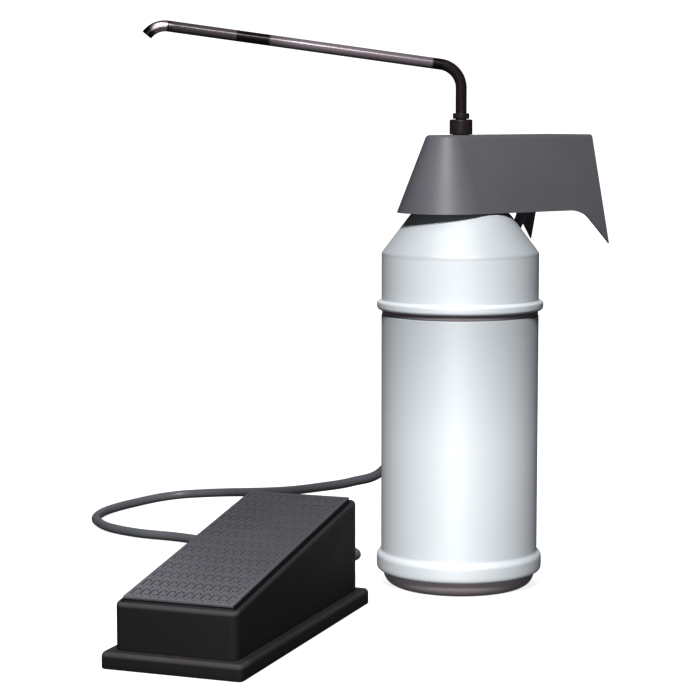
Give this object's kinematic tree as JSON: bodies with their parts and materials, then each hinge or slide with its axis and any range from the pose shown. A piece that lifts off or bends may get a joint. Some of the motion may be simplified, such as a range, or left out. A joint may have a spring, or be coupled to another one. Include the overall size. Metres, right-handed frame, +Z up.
{
  "type": "foot-operated soap dispenser",
  "caption": "Wall head with a folded cover, a swivelling bent spout and a twist-off container, worked by a floor pedal whose bellows sends air through a hose.",
  "frame": {"origin": "middle of the container's flat underside, on the floor plane", "axes": "+Z up, +Y towards the wall that the bracket hangs on, +X to the right seen from the front"},
  "size_m": [0.4119, 0.3545, 0.3233],
  "materials": {
    "container_white": "smooth white moulded plastic",
    "rubber_dark": "dark moulded rubber",
    "sheet_grey": "satin dark grey metal sheet",
    "bracket_steel": "plain steel",
    "collar_black": "near-black moulded plastic",
    "spout_chrome": "dark polished metal",
    "head_plastic": "black moulded plastic",
    "gasket_rubber": "soft black rubber",
    "steel": "bright steel",
    "brass": "turned brass",
    "clear_plastic": "milky plastic",
    "hose_grey": "dark grey flexible air hose",
    "pedal_black": "black moulded plastic",
    "mat_grey": "grey rubber with small raised marks"
  },
  "bodies": {
    "root": {"wall_bracket": "bracket_steel", "shroud": "sheet_grey", "lock_nut": "collar_black", "valve_head": "head_plastic", "neck_gasket": "gasket_rubber", "air_check_valve": "gasket_rubber", "head_air_fitting": "brass", "head_hose_ferrule": "steel", "dip_tube": "clear_plastic", "intake_strainer": "clear_plastic", "spout_o_ring": "gasket_rubber", "air_hose": "hose_grey", "pedal_base": "pedal_black", "pedal_housing": "pedal_black", "hinge_pin": "steel", "bellows_seat": "head_plastic", "intake_valve": "gasket_rubber", "pump_bellows": "gasket_rubber", "treadle_spring": "steel", "hose_gland": "pedal_black", "gland_nut": "brass", "pedal_air_tube": "hose_grey", "foot_pad_1": "rubber_dark", "foot_pad_2": "rubber_dark", "foot_pad_3": "rubber_dark", "foot_pad_4": "rubber_dark", "base_screw_1": "steel", "base_screw_2": "steel", "base_screw_3": "steel", "base_screw_4": "steel"},
    "spout": {"spout_tube": "spout_chrome", "spout_collar": "collar_black"},
    "outlet_ball": {"outlet_ball": "steel"},
    "container": {"container_body": "container_white", "container_base_cap": "rubber_dark", "container_seal": "rubber_dark", "container_shoulder": "container_white"},
    "treadle": {"treadle": "pedal_black", "tread_mat": "mat_grey"}
  },
  "joints": [
    {"name": "spout_swivel", "type": "hinge", "parent": "root", "child": "spout", "pos_m": [0, 0, 0.26], "axis": [0, 0, 1], "range_deg": [-70.8, 149.2]},
    {"name": "treadle_press", "type": "hinge", "parent": "root", "child": "treadle", "pos_m": [0.06043, -0.23691, 0.0308], "axis": [-0.862, -0.5069, 0], "range_deg": [0, 4.5], "stiffness_Nm_per_rad": 20, "springref_deg": -3.44, "deforming": ["pump_bellows", "treadle_spring"]},
    {"name": "outlet_ball_lift", "type": "slide", "parent": "root", "child": "outlet_ball", "axis": [0, 0, 1], "range_m": [0, 0.0033]},
    {"name": "container_twist", "type": "hinge", "parent": "root", "child": "container", "pos_m": [0, 0, 0.1], "axis": [0, 0, 1], "range_deg": [0, 75]}
  ]
}
